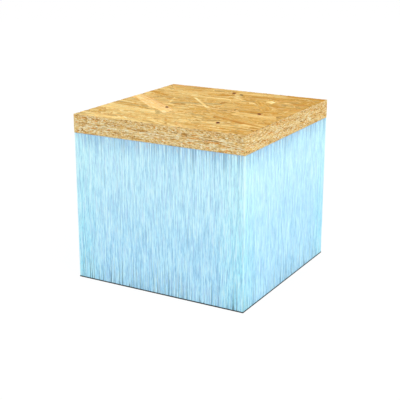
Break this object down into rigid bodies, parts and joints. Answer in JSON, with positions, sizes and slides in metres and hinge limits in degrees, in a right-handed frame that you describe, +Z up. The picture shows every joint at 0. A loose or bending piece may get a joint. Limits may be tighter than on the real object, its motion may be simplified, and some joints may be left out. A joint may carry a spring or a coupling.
{
  "type": "structural insulated panel",
  "caption": "Square sawn block of sandwich panel: an oriented strand board skin bonded on a thick pale blue rigid foam core, with a thin dark facing sheet under the core.",
  "frame": {"origin": "centre of the underside of the facing sheet, where the block rests", "axes": "+Z up through the layers, from the facing sheet to the strand board skin; +X the way the skin's face strands run; +Y across them"},
  "size_m": [0.15, 0.15, 0.1358],
  "materials": {
    "strand_board": "unsanded pressed strands, golden to straw, with a dull waxed sheen",
    "rigid_foam": "sawn pale blue rigid foam with upright streaks",
    "facing": "dark matt fleece facing"
  },
  "bodies": {
    "root": {"strand_board_skin": "strand_board", "foam_core": "rigid_foam", "facing_sheet": "facing"}
  },
  "joints": []
}
